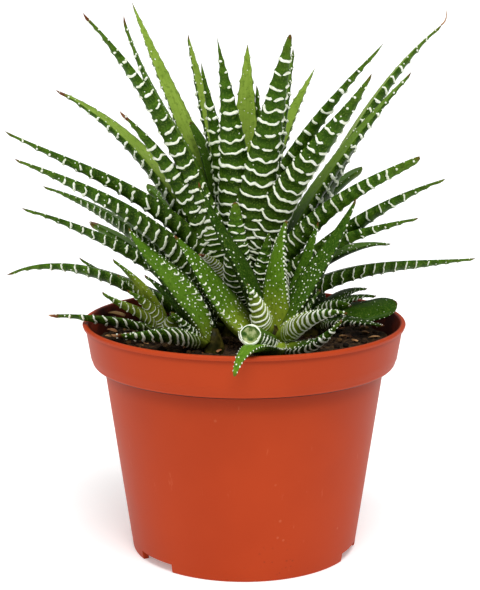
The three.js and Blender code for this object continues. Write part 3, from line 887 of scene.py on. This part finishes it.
def rosette(name, materials):
    """A rosette's green body and, as two more pieces, its white bands and its white dots."""
    skin = Parts("along", "across", "backness", "tone", "lit", "dry", "gold", "scar", "glow", "shade", "husk")
    bands = Parts("faint")
    dots = Parts("faint")
    stem(skin, ROSETTES[name])
    for number in range(len(LEAVES[name])):
        leaf = Leaf(name, number)
        leaf_skin(skin, leaf)
        leaf_hair(skin, leaf)
        cut_lip(bands, leaf)
        leaf_bands(bands, dots, leaf)
        leaf_teeth(dots, leaf)
        leaf_hooks(bands, leaf)
        leaf_dots(dots, leaf)
    body = skin.build(f"{name}_leaves", [materials["leaf"]])
    lines = bands.build(f"{name}_bands", [materials["band"]])
    points = dots.build(f"{name}_dots", [materials["band"]])
    for piece in (body, lines, points):
        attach(piece, "root")
        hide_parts(name)


# Pot

def outer_radius(height):
    if height <= COLLAR_FOOT:
        return BASE_RADIUS + (BODY_TOP_RADIUS - BASE_RADIUS) * (height / COLLAR_FOOT)
    share = (height - COLLAR_FOOT) / (POT_HEIGHT - COLLAR_FOOT)
    return COLLAR_FOOT_RADIUS + (RIM_RADIUS - BEAD - COLLAR_FOOT_RADIUS) * share


def wall(low, high, steps, inwards=0.0):
    """Evenly spaced points of the outer wall, or so far inwards from it."""
    return [(outer_radius(z) - inwards, z) for z in np.linspace(low, high, steps)]


def arc(centre, radius, start, end, steps):
    """Points of a round from one angle to another, in degrees."""
    turns = [math.radians(start + (end - start) * i / steps) for i in range(steps + 1)]
    return [(centre[0] + radius * math.cos(t), centre[1] + radius * math.sin(t)) for t in turns]


def pot_profile():
    """The pot's closed section from its floor outwards, up over the lip and down inside."""
    floor_top = FOOT_HEIGHT + WALL
    foot_inner = BASE_RADIUS - FOOT_WIDTH
    bead_foot = POT_HEIGHT - BEAD_HEIGHT
    mouth = RIM_RADIUS - BEAD - WALL
    return [
        (0, FOOT_HEIGHT), (foot_inner, FOOT_HEIGHT), (foot_inner, 0.1), (foot_inner + 0.1, 0),
        *arc((BASE_RADIUS - FOOT_ROUND, FOOT_ROUND), FOOT_ROUND, -90, 0, 4),
        *wall(2 * FOOT_ROUND, COLLAR_FOOT - 0.5, 24),
        (BODY_TOP_RADIUS + 0.05, COLLAR_FOOT - 0.15),
        (BODY_TOP_RADIUS + 0.2, COLLAR_FOOT),
        *arc((COLLAR_FOOT_RADIUS - STEP_ROUND, COLLAR_FOOT + STEP_ROUND), STEP_ROUND, -90, 0, 8),
        *wall(COLLAR_FOOT + STEP_ROUND + 1, bead_foot - 0.5, 6),
        (outer_radius(bead_foot), bead_foot),
        (RIM_RADIUS - 0.3, bead_foot + 0.25),
        *arc((RIM_RADIUS - BEAD_ROUND, POT_HEIGHT - BEAD_ROUND), BEAD_ROUND, 0, 90, 5),
        *arc((mouth + MOUTH_ROUND, POT_HEIGHT - MOUTH_ROUND), MOUTH_ROUND, 90, 180, 5),
        (COLLAR_FOOT_RADIUS - WALL, COLLAR_FOOT + WALL),
        (BODY_TOP_RADIUS - WALL, COLLAR_FOOT + WALL - 0.3),
        *wall(COLLAR_FOOT - 0.8, floor_top + 0.5, 8, WALL),
        (outer_radius(floor_top) - WALL - 0.4, floor_top),
        (0, floor_top),
    ]


def turned(profile, sides):
    """A closed profile of radius and height turned about the upright axis."""
    points, faces, rows = [], [], []
    for radius, height in profile:
        if radius == 0:
            rows.append([len(points)] * sides)
            points.append((0, 0, height))
        else:
            rows.append(range(len(points), len(points) + sides))
            points += ring(radius, height, sides)
    for low, high in zip(rows, rows[1:]):
        for i in range(sides):
            j = (i + 1) % sides
            faces.append(tuple(dict.fromkeys((low[i], low[j], high[j], high[i]))))
    return points, faces


def notch(middle):
    """The gap between two feet: a piece of a ring around a middle angle."""
    inner, outer, low, high = BASE_RADIUS - FOOT_WIDTH - 2, BASE_RADIUS + 2, -1.0, FOOT_HEIGHT - 0.3
    points = []
    for i in range(NOTCH_STEPS + 1):
        turn = math.radians(middle + NOTCH_ANGLE * (i / NOTCH_STEPS - 0.5))
        for radius, height in ((inner, low), (outer, low), (outer, high), (inner, high)):
            points.append((radius * math.cos(turn), radius * math.sin(turn), height))
    last = 4 * NOTCH_STEPS
    faces = strips(range(NOTCH_STEPS + 1), 4, flip=True)
    return points, [*faces, (0, 1, 2, 3), (last + 3, last + 2, last + 1, last)]


def drain(angle):
    """A short upright rod through the floor."""
    x, y, _ = DRAIN_CIRCLE * direction(0, math.radians(angle))
    points = []
    for height in (FOOT_HEIGHT - 1, FOOT_HEIGHT + WALL + 1):
        points += ring(DRAIN_RADIUS, height, DRAIN_SIDES, x, y)
    return points, closed_tube(2, DRAIN_SIDES)


def pot(material):
    """The turned shell without the gaps between its feet and its drain holes."""
    piece = linked("pot_shell", mesh_of("pot_shell", *turned(pot_profile(), POT_SIDES)))
    cutters = Parts()
    for i in range(FOOT_COUNT):
        cutters.add(*notch(FOOT_TURN - 90 + 360 / FOOT_COUNT * (i + 0.5)))
    for i in range(DRAIN_COUNT):
        cutters.add(*drain(360 / DRAIN_COUNT * i))
    cutter = cutters.build("cutters", [])
    cut = piece.modifiers.new("cut", "BOOLEAN")
    cut.operation = "DIFFERENCE"
    cut.solver = "EXACT"
    cut.object = cutter
    bpy.context.view_layer.update()
    made = bpy.data.meshes.new_from_object(piece.evaluated_get(bpy.context.evaluated_depsgraph_get()))
    piece.modifiers.clear()
    piece.data = made
    bpy.data.objects.remove(cutter)
    made.polygons.foreach_set("use_smooth", [True] * len(made.polygons))
    made.set_sharp_from_angle(angle=math.radians(35))
    made.materials.clear()
    made.materials.append(material)
    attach(piece, "root")
    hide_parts("pot")


# Soil

def soil_height(x, y):
    """The soil's lumpy mound, as in the model."""
    share = math.hypot(x, y) / BODY_TOP_RADIUS
    lumps = math.sin(x * 0.37 + 1) * math.sin(y * 0.41 - 0.5) + 0.6 * math.sin(x * 0.83 - y * 0.71)
    return SOIL_EDGE_HEIGHT + SOIL_MOUND * (1 - share * share) + SOIL_LUMP * lumps * (1 - share ** 6)


def crumbly(x, y):
    """The soil's height with its crumbs and hollows."""
    coarse = noise.fractal(Vector((x * 0.22, y * 0.22, 3.1)), 0.8, 2.2, 4)
    fine = noise.noise(Vector((x * 1.3, y * 1.3, 7.7)))
    return soil_height(x, y) + 0.75 * coarse + 0.3 * fine


def soil(material):
    """The plug of peat: a crumbly top and plain sides inside the pot."""
    points = []
    for row in range(SOIL_RINGS + 1):
        radius = SOIL_RADIUS * (1 - row / SOIL_RINGS)
        points += [(x, y, crumbly(x, y)) for x, y, _ in ring(radius, 0, SOIL_SECTORS)]
    for radius, height in SOIL_SIDE:
        points += ring(radius, height, SOIL_SECTORS)
    faces = strips(range(SOIL_RINGS + 1), SOIL_SECTORS)
    side_rings = [0, *range(SOIL_RINGS + 1, SOIL_RINGS + 1 + len(SOIL_SIDE))]
    faces += strips(side_rings, SOIL_SECTORS, flip=True)
    faces.append(tuple(reversed(range(len(points) - SOIL_SECTORS, len(points)))))
    parts = Parts("tone")
    parts.add(points, faces, tone=0.5)
    piece = parts.build("soil_peat", [material])
    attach(piece, "root")
    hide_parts("soil")


def ball(subdivisions):
    """Corners and faces of a round made of triangles."""
    phi = (1 + 5 ** 0.5) / 2
    corners = [(-1, phi, 0), (1, phi, 0), (-1, -phi, 0), (1, -phi, 0), (0, -1, phi), (0, 1, phi),
               (0, -1, -phi), (0, 1, -phi), (phi, 0, -1), (phi, 0, 1), (-phi, 0, -1), (-phi, 0, 1)]
    faces = [(0, 11, 5), (0, 5, 1), (0, 1, 7), (0, 7, 10), (0, 10, 11), (1, 5, 9), (5, 11, 4), (11, 10, 2),
             (10, 7, 6), (7, 1, 8), (3, 9, 4), (3, 4, 2), (3, 2, 6), (3, 6, 8), (3, 8, 9), (4, 9, 5),
             (2, 4, 11), (6, 2, 10), (8, 6, 7), (9, 8, 1)]
    points = [Vector(c).normalized() for c in corners]
    for _ in range(subdivisions):
        middles, finer = {}, []
        for a, b, c in faces:
            edge = []
            for i, j in ((a, b), (b, c), (c, a)):
                key = (min(i, j), max(i, j))
                if key not in middles:
                    middles[key] = len(points)
                    points.append((points[i] + points[j]).normalized())
                edge.append(middles[key])
            finer += [(a, edge[0], edge[2]), (b, edge[1], edge[0]), (c, edge[2], edge[1]), tuple(edge)]
        faces = finer
    return np.array([tuple(p) for p in points]), faces


def lump(points, uneven, draw):
    """A round with an uneven surface."""
    away = Vector((draw.uniform(0, 100), 0, 0))
    return points * np.array([1 + uneven * noise.noise(Vector(p) * 1.7 + away) for p in points])[:, None]


def crumb_size(draw, is_chip):
    """The half sizes of a flat chip or of a round crumb."""
    if is_chip:
        size = draw.uniform(0.9, 2.3)
        return np.array([size * draw.uniform(1.0, 1.7), size * draw.uniform(0.5, 0.9), size * 0.28])
    size = draw.uniform(0.45, 1.5)
    return np.array([size * draw.uniform(0.8, 1.4), size, size * draw.uniform(0.6, 0.9)])


def crumbs(materials):
    """Loose crumbs of peat, pale chips of bark and larger dry bits lying on the soil."""
    draw = random.Random("crumbs")
    parts = Parts("tone")
    points, faces = ball(1)
    for number in range(CRUMB_COUNT + CHIP_COUNT):
        is_chip = number >= CRUMB_COUNT
        radius = (SOIL_RADIUS - 2.5) * math.sqrt(draw.random())
        turn = draw.uniform(0, 2 * math.pi)
        x, y = radius * math.cos(turn), radius * math.sin(turn)
        size = crumb_size(draw, is_chip)
        placed = lump(points, 0.42, draw) * size
        spin = Matrix.Rotation(draw.uniform(0, 6.28), 3, "Z")
        tilt = Matrix.Rotation(draw.uniform(-0.5, 0.5), 3, "X")
        placed = placed @ np.array(spin @ tilt).T + [x, y, crumbly(x, y) + size[2] * 0.35]
        parts.add(placed, faces, look=1 if is_chip else 0, tone=draw.random())
    points, faces = ball(2)
    for x, y, z, length, width, turn, arch, tone in LITTER:
        placed = lump(points, 0.3, draw) * [length / 2, width / 2, LITTER_THICKNESS / 2]
        placed[:, 2] += arch * (1 - points[:, 0] ** 2)
        spin = np.array(Matrix.Rotation(math.radians(turn), 3, "Z"))
        parts.add(placed @ spin.T + [x, y, z], faces, look=1, tone=tone)
    piece = parts.build("soil_crumbs", [materials["peat"], materials["chip"]])
    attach(piece, "root")


# Materials

class Nodes:
    """A material's node tree with short ways to add to it."""

    def __init__(self, name):
        self.material = bpy.data.materials.new(name)
        self.material.use_nodes = True
        self.tree = self.material.node_tree
        self.shader = self.tree.nodes["Principled BSDF"]

    def add(self, kind, inputs, **settings):
        node = self.tree.nodes.new(kind)
        for key, value in settings.items():
            setattr(node, key, value)
        for key, value in inputs.items():
            self.feed(node.inputs[key], value)
        return node

    def feed(self, socket, value):
        if isinstance(value, bpy.types.NodeSocket):
            self.tree.links.new(value, socket)
        else:
            socket.default_value = value

    def attribute(self, name):
        return self.add("ShaderNodeAttribute", {}, attribute_name=name).outputs["Fac"]

    def place(self):
        return self.add("ShaderNodeTexCoord", {}).outputs["Object"]

    def noise(self, scale, detail=3.0, vector=None, roughness=0.5):
        inputs = {"Vector": vector or self.place(), "Scale": scale, "Detail": detail, "Roughness": roughness}
        return self.add("ShaderNodeTexNoise", inputs).outputs["Fac"]

    def cells(self, scale, vector):
        return self.add("ShaderNodeTexVoronoi", {"Vector": vector, "Scale": scale}).outputs["Distance"]

    def math(self, operation, a, b):
        return self.add("ShaderNodeMath", {0: a, 1: b}, operation=operation).outputs[0]

    def times(self, a, b):
        return self.math("MULTIPLY", a, b)

    def plus(self, a, b):
        return self.math("ADD", a, b)

    def range(self, value, low, high, to_low=0.0, to_high=1.0):
        inputs = {"Value": value, "From Min": low, "From Max": high, "To Min": to_low, "To Max": to_high}
        return self.add("ShaderNodeMapRange", inputs, interpolation_type="SMOOTHSTEP").outputs["Result"]

    def mix(self, share, a, b, blend="MIX"):
        inputs = {0: share, 6: a, 7: b}
        return self.add("ShaderNodeMix", inputs, data_type="RGBA", blend_type=blend).outputs[2]

    def tint(self, share, base, tint):
        """The base, multiplied by a tint as far as the share says."""
        return self.mix(share, base, self.mix(1.0, base, tint, "MULTIPLY"))

    def ramp(self, value, *stops):
        node = self.add("ShaderNodeValToRGB", {"Fac": value})
        elements = node.color_ramp.elements
        while len(elements) < len(stops):
            elements.new(0.5)
        for element, (position, shade) in zip(elements, stops):
            element.position = position
            element.color = shade
        return node.outputs["Color"]

    def bump(self, height, strength, distance):
        inputs = {"Height": height, "Strength": strength, "Distance": distance}
        return self.add("ShaderNodeBump", inputs).outputs["Normal"]

    def finish(self, base, roughness, **plain):
        """The material, with the rest of the shader's sockets by name."""
        self.feed(self.shader.inputs["Base Color"], base)
        self.feed(self.shader.inputs["Roughness"], roughness)
        for key, value in plain.items():
            self.feed(self.shader.inputs[key.replace("_", " ")], value)
        return self.material


def colour(red, green, blue):
    """A colour given as the eye sees it, 0 to 255, as the shader needs it."""
    shares = (red / 255, green / 255, blue / 255)
    return (*[c / 12.92 if c <= 0.04045 else ((c + 0.055) / 1.055) ** 2.4 for c in shares], 1.0)


def leaf_ground(n, along, backness):
    """Dark back, painted lighter green beside its bands as light, an inner face painted as bright as it
    stands lit that cools to the tip, and a yellow root.
    """
    back = n.ramp(along, (0.0, colour(76, 88, 26)), (0.13, colour(28, 44, 9)), (0.4, colour(21, 40, 6)),
                  (0.8, colour(42, 76, 9)), (1.0, colour(84, 108, 30)))
    # Painted light: the back mixed to a lighter green next to its bands, on their tip side.
    back = n.mix(n.times(n.attribute("glow"), 0.46), back, colour(88, 130, 24))
    # Painted light: the inner face from dark to pale as far as it stands in shade or in light.
    face = n.ramp(n.attribute("lit"), (0.0, colour(34, 58, 12)), (0.3, colour(62, 98, 20)),
                  (0.6, colour(98, 136, 32)), (1.0, colour(168, 190, 84)))
    face = n.tint(n.range(along, 0.3, 1.0, 0.0, 0.35), face, colour(214, 236, 190))
    base = n.mix(n.range(backness, 0.35, 0.75), face, back)
    rooted = n.math("SUBTRACT", along, n.attribute("gold"))
    yellow = n.mix(backness, colour(158, 172, 52), colour(134, 148, 46))
    return n.mix(n.range(rooted, -0.22, 0.14, 0.85, 0.0), base, yellow)


def leaf_grain(n, base, lines, clouds):
    """Fine lines along the leaf, soft clouds, pale pores and darker pits, and the leaf's shade: its own tone
    with painted light and shade.
    """
    base = n.tint(n.range(lines, 0.3, 0.75, 0.0, 0.4), base, colour(168, 190, 120))
    base = n.tint(n.range(clouds, 0.35, 0.75, 0.0, 0.5), base, colour(190, 206, 140))
    base = n.mix(n.range(n.noise(1500.0, 2.0), 0.5, 0.7, 0.0, 0.3), base, colour(126, 150, 58))
    base = n.tint(n.range(n.noise(800.0, 3.0), 0.52, 0.68, 0.0, 0.4), base, colour(120, 150, 90))
    # The shade value multiplied in: the leaf's own tone with painted light and shade.
    shade = n.attribute("shade")
    grey = n.add("ShaderNodeCombineColor", {0: shade, 1: shade, 2: shade}).outputs[0]
    return n.mix(1.0, base, grey, "MULTIPLY")


def leaf_ends(n, base, along, clouds):
    """The brown husk of the stem, the dry tip and the scar of a cut."""
    husk = n.ramp(n.noise(340.0, 4.0), (0.35, colour(20, 15, 7)), (0.5, colour(48, 39, 15)),
                  (0.65, colour(88, 76, 30)))
    base = n.mix(n.attribute("husk"), base, husk)
    flecks = n.range(n.noise(420.0, 2.0), 0.3, 0.7, -0.012, 0.012)
    beyond = n.math("SUBTRACT", along, n.plus(n.math("SUBTRACT", 1.0, n.attribute("dry")), flecks))
    dead = n.mix(n.range(beyond, 0.0, 0.08), colour(96, 48, 24), colour(168, 124, 84))
    base = n.mix(n.range(beyond, -0.03, 0.015), base, dead)
    scar = n.range(n.plus(n.attribute("scar"), n.range(clouds, 0.2, 0.8, -0.2, 0.2)), 0.3, 0.8)
    healed = n.ramp(n.noise(420.0, 4.0), (0.38, colour(52, 84, 30)), (0.5, colour(104, 126, 62)),
                    (0.62, colour(182, 190, 138)))
    return n.mix(scar, base, healed)


def leaf_material():
    """Waxy leaf: dark back, an inner face painted brighter as far as it stands lit, a yellow root, a dry tip
    and fine lengthwise lines.
    """
    n = Nodes("leaf")
    along = n.attribute("along")
    clouds = n.noise(110.0, 4.0)
    streaks = n.add("ShaderNodeCombineXYZ", {"X": n.times(n.attribute("across"), 5.0),
                                             "Y": n.times(along, 1.6),
                                             "Z": n.times(n.attribute("tone"), 40.0)}).outputs[0]
    lines = n.noise(1.8, 4.0, streaks, 0.6)
    base = leaf_ground(n, along, n.attribute("backness"))
    base = leaf_grain(n, base, lines, clouds)
    base = leaf_ends(n, base, along, clouds)
    normal = n.bump(n.plus(n.noise(900.0, 3.0), n.times(lines, 0.6)), 0.25, 0.0002)
    return n.finish(base, n.range(clouds, 0.2, 0.8, 0.34, 0.52), Normal=normal, Specular_IOR_Level=0.06)


def band_material():
    """Chalky white of the raised bands and dots, greener where they are faint."""
    n = Nodes("band")
    grain = n.noise(700.0, 3.0)
    speckle = n.range(grain, 0.3, 0.7)
    white = n.mix(speckle, colour(226, 232, 204), colour(246, 250, 238))
    dull = n.mix(speckle, colour(128, 146, 84), colour(168, 182, 124))
    base = n.mix(n.range(n.attribute("faint"), 0.1, 1.0, 0.0, 0.85), white, dull)
    return n.finish(base, 0.55, Normal=n.bump(grain, 0.3, 0.0002))


def below(n, height, top):
    """1 up to a height in millimetres and 0 above it."""
    return n.math("LESS_THAN", height, top * MM)


def inner_dust_and_shade(n, place, height):
    """How much peat dust and painted shade darken the inside of the collar, more towards the soil."""
    away = n.add("ShaderNodeVectorMath", {0: place, 1: (1.0, 1.0, 0.0)}, operation="MULTIPLY").outputs[0]
    radius = n.add("ShaderNodeVectorMath", {0: away}, operation="LENGTH").outputs["Value"]
    slope = (RIM_RADIUS - BEAD - COLLAR_FOOT_RADIUS) / (POT_HEIGHT - COLLAR_FOOT)
    start = (COLLAR_FOOT_RADIUS - slope * COLLAR_FOOT - WALL / 2) * MM
    middle = n.add("ShaderNodeMath", {0: height, 1: slope, 2: start}, operation="MULTIPLY_ADD").outputs[0]
    inside = n.math("LESS_THAN", radius, middle)
    above = n.math("GREATER_THAN", height, COLLAR_FOOT * MM)
    uneven = n.plus(n.range(n.noise(90.0, 5.0), 0.3, 0.7, -0.004, 0.004), height)
    dust_and_shade = n.range(uneven, (POT_HEIGHT - 5) * MM, (POT_HEIGHT - 0.4) * MM, 0.94, 0.62)
    return n.times(n.times(inside, above), dust_and_shade)


def painted_corner_shade(n, height):
    """How much painted shade darkens the plastic below the collar and below the lip bead, where they cast
    shadow.
    """
    collar = n.range(height, (COLLAR_FOOT - 7.5) * MM, COLLAR_FOOT * MM, 0.0, 0.42)
    lip = n.range(height, (POT_HEIGHT - 3.6) * MM, (POT_HEIGHT - 1.9) * MM, 0.0, 0.3)
    return n.plus(n.times(collar, below(n, height, COLLAR_FOOT + 0.3)),
                  n.times(lip, below(n, height, POT_HEIGHT - 1.7)))


def pot_material():
    """Matte moulded plastic, lightly scuffed, with a few specks low down, painted shade below the collar
    and the lip, and peat dust with painted shade inside the collar.
    """
    n = Nodes("pot_plastic")
    place = n.place()
    height = n.add("ShaderNodeSeparateXYZ", {"Vector": place}).outputs["Z"]
    clouds = n.noise(22.0, 3.0)
    base = n.mix(n.range(clouds, 0.3, 0.7), colour(168, 56, 18), colour(176, 61, 22))
    stretched = n.add("ShaderNodeMapping", {"Vector": place, "Scale": (1.0, 1.0, 0.16)}).outputs[0]
    scuff = n.range(n.noise(260.0, 5.0, stretched, 0.65), 0.66, 0.74, 0.0, 0.22)
    base = n.mix(scuff, base, colour(222, 134, 100))
    pale = n.times(n.range(n.cells(150.0, place), 0.06, 0.10, 1.0, 0.0),
                  n.range(n.noise(30.0), 0.56, 0.62))
    base = n.mix(n.times(pale, 0.12), base, colour(232, 166, 128))
    low = n.times(n.range(height, 0.004, 0.02, 1.0, 0.0), n.range(n.noise(60.0), 0.54, 0.64))
    specks = n.times(n.range(n.cells(420.0, place), 0.12, 0.24, 1.0, 0.0), low)
    base = n.mix(n.times(specks, 0.3), base, colour(52, 34, 24))
    # Painted shade: darker red below the collar and below the lip bead, where their shadows fall.
    base = n.mix(painted_corner_shade(n, height), base, colour(96, 24, 8))
    # Peat dust and painted shade: the inside of the collar darker red, most deep down towards the soil.
    base = n.mix(inner_dust_and_shade(n, place, height), base, colour(66, 20, 10))
    normal = n.bump(n.plus(n.noise(1400.0, 2.0), n.times(scuff, 2.0)), 0.12, 0.0001)
    return n.finish(base, n.range(clouds, 0.2, 0.8, 0.44, 0.56), Normal=normal, Specular_IOR_Level=0.12)


def peat_material():
    """Damp fibrous peat, from nearly black hollows to pale fibres."""
    n = Nodes("peat")
    grain = n.noise(380.0, 5.0, roughness=0.7)
    own = n.times(n.math("SUBTRACT", n.attribute("tone"), 0.5), 0.35)
    base = n.ramp(n.plus(grain, own), (0.3, colour(20, 14, 9)), (0.5, colour(52, 37, 23)),
                  (0.66, colour(92, 68, 40)), (0.8, colour(142, 108, 66)))
    return n.finish(base, 0.95, Normal=n.bump(n.noise(900.0, 5.0, roughness=0.7), 0.8, 0.0008),
                    Specular_IOR_Level=0.2)


def chip_material():
    """Dry bark and dead leaf, paler with the piece's tone."""
    n = Nodes("bark_chip")
    grain = n.noise(600.0, 4.0)
    tone = n.plus(n.times(grain, 0.6), n.times(n.attribute("tone"), 0.4))
    base = n.ramp(tone, (0.2, colour(84, 50, 28)), (0.5, colour(150, 100, 58)), (0.8, colour(206, 160, 104)))
    return n.finish(base, 0.85, Normal=n.bump(grain, 0.5, 0.0004))


def floor_material():
    """White ground that glows a little, so that the shadow on it stays faint."""
    n = Nodes("floor")
    base = n.mix(n.noise(3.0), colour(246, 246, 246), colour(250, 250, 250))
    return n.finish(base, 0.9, Emission_Color=(1.0, 1.0, 1.0, 1.0), Emission_Strength=FLOOR_GLOW)


# Stage

def sun(name, azimuth, elevation, strength, softness):
    """A wide soft light from far away."""
    light = bpy.data.lights.new(name, "SUN")
    light.energy = strength
    light.angle = math.radians(softness)
    way = Vector(direction(math.radians(elevation), math.radians(azimuth - 90)))
    linked(name, light).rotation_euler = (-way).to_track_quat("-Z", "Y").to_euler()


def stage():
    reach = FLOOR_REACH
    corners = [(-reach, -reach, 0), (reach, -reach, 0), (reach, reach, 0), (-reach, reach, 0)]
    mesh = mesh_of("floor", corners, [(0, 1, 2, 3)])
    mesh.materials.append(floor_material())
    floor = linked("floor", mesh)
    world = bpy.data.worlds.new("studio")
    world.use_nodes = True
    background = world.node_tree.nodes["Background"]
    background.inputs["Color"].default_value = (1.0, 1.0, 1.0, 1.0)
    background.inputs["Strength"].default_value = WORLD_LIGHT
    bpy.context.scene.world = world
    bpy.context.scene.view_settings.view_transform = "Standard"
    for name, settings in SUNS.items():
        sun(name, *settings)


def camera():
    """The photograph's camera."""
    data = bpy.data.cameras.new("camera")
    data.sensor_fit = "VERTICAL"
    data.sensor_height = 24.0
    data.lens = FOCAL_PIXELS / PHOTO_HEIGHT * data.sensor_height
    data.clip_start = 0.01
    data.clip_end = 400.0
    eye = linked("camera", data)
    look = Vector((0, math.cos(PITCH), -math.sin(PITCH)))
    eye.location = AIM - look * DISTANCE
    eye.rotation_euler = look.to_track_quat("-Z", "Y").to_euler()
    bpy.context.scene.camera = eye


camera()
stage()
materials = {
    "leaf": leaf_material(),
    "band": band_material(),
    "peat": peat_material(),
    "chip": chip_material(),
}
pot(pot_material())
soil(materials["peat"])
crumbs(materials)
for rosette_name in ROSETTES:
    rosette(rosette_name, materials)
